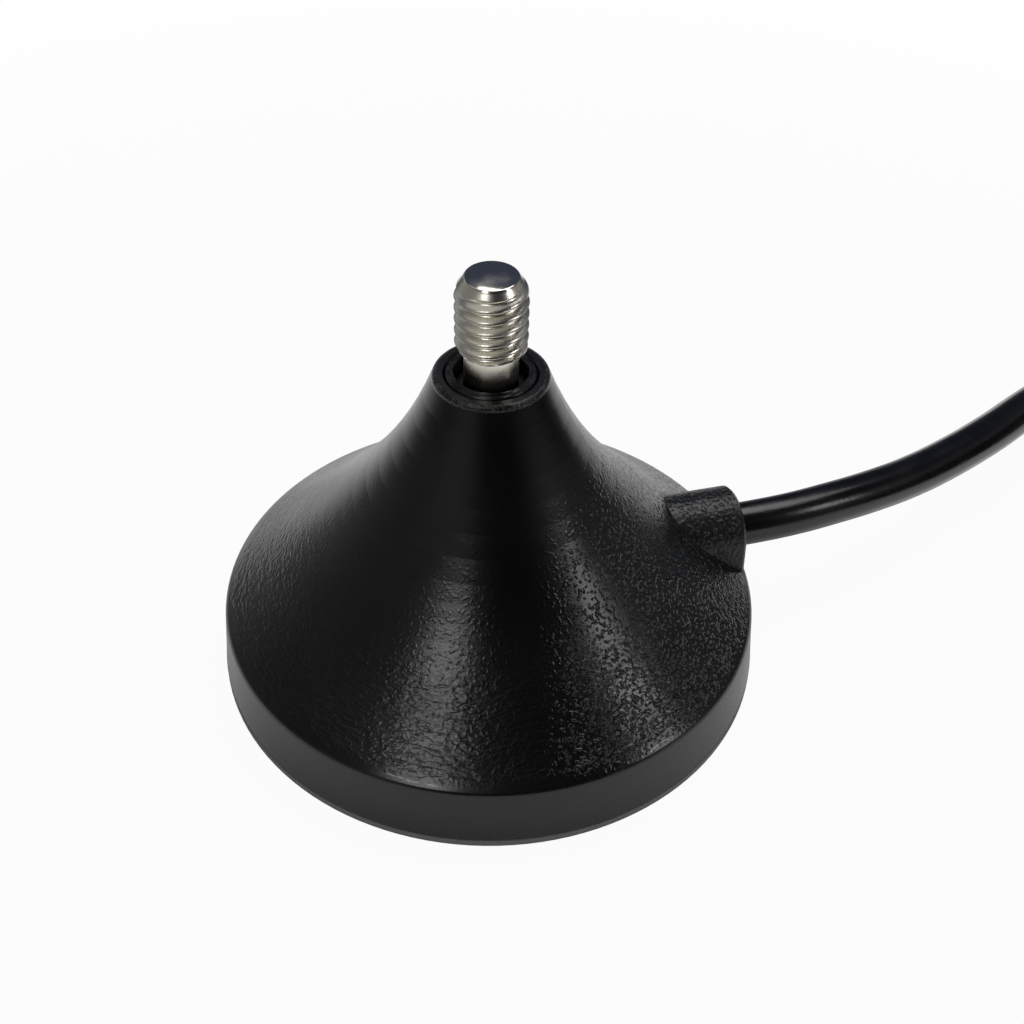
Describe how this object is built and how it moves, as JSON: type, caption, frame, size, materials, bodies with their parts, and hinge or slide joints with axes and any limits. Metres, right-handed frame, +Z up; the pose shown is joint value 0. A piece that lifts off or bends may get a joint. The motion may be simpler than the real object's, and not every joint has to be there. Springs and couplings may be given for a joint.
{
  "type": "magnetic mount antenna",
  "caption": "Trumpet-shaped magnetic base with a threaded whip stud in its neck and a thin coax lead that ends in a small screw-on coaxial plug.",
  "frame": {"origin": "centre of the base's underside, on the surface it stands on", "axes": "+Z up along the stud, +X to the side that the cable boss is on, which is turned 14 degrees from +X towards +Y"},
  "size_m": [0.1114, 0.056, 0.0263],
  "materials": {
    "black_plastic": "black moulded ABS, satin with a fine orange-peel grain",
    "bush_plastic": "black turned insulating plastic, glossier than the base",
    "nickel": "bright nickel plate, slightly warm",
    "washer_plastic": "natural fibre washer",
    "tinned_brass": "tinned brass and tinned copper braid",
    "steel": "zinc-plated steel",
    "magnet_nickel": "nickel-plated sintered magnet",
    "pad_rubber": "thin dark grey pad",
    "brass": "plain brass",
    "white_plastic": "white dielectric",
    "copper": "bare copper",
    "jacket": "black soft jacket, satin",
    "tie": "white plastic-coated wire tie",
    "gold": "thin gold plate on brass",
    "gasket_rubber": "red silicone gasket",
    "shrink_sleeve": "black heat-shrink sleeve, satin"
  },
  "bodies": {
    "base": {"housing": "black_plastic", "insulator_bush": "bush_plastic", "antenna_stud": "nickel", "insulating_washer": "washer_plastic", "solder_tag": "tinned_brass", "lock_washer": "steel", "stud_nut": "nickel", "ring_magnet": "magnet_nickel", "backing_plate": "steel", "bottom_pad": "pad_rubber", "cable_crimp_ring": "brass", "cable_dielectric": "white_plastic", "centre_conductor": "copper", "braid_pigtail": "tinned_brass", "cable_lead": "jacket", "cable_coil": "jacket", "cable_tail": "jacket", "coil_tie_a": "tie", "coil_tie_b": "tie", "plug_body": "gold", "retaining_ring": "brass", "plug_gasket": "gasket_rubber", "plug_insulator": "white_plastic", "plug_pin": "gold", "plug_core": "white_plastic", "crimp_ferrule": "gold", "heat_shrink": "shrink_sleeve"},
    "nut": {"coupling_nut": "gold"}
  },
  "joints": [
    {"name": "coupling_nut_spin", "type": "hinge", "parent": "base", "child": "nut", "pos_m": [0.0875, 0.023, 0.01351], "axis": [0.9848, 0.1736, 0], "continuous": true}
  ]
}
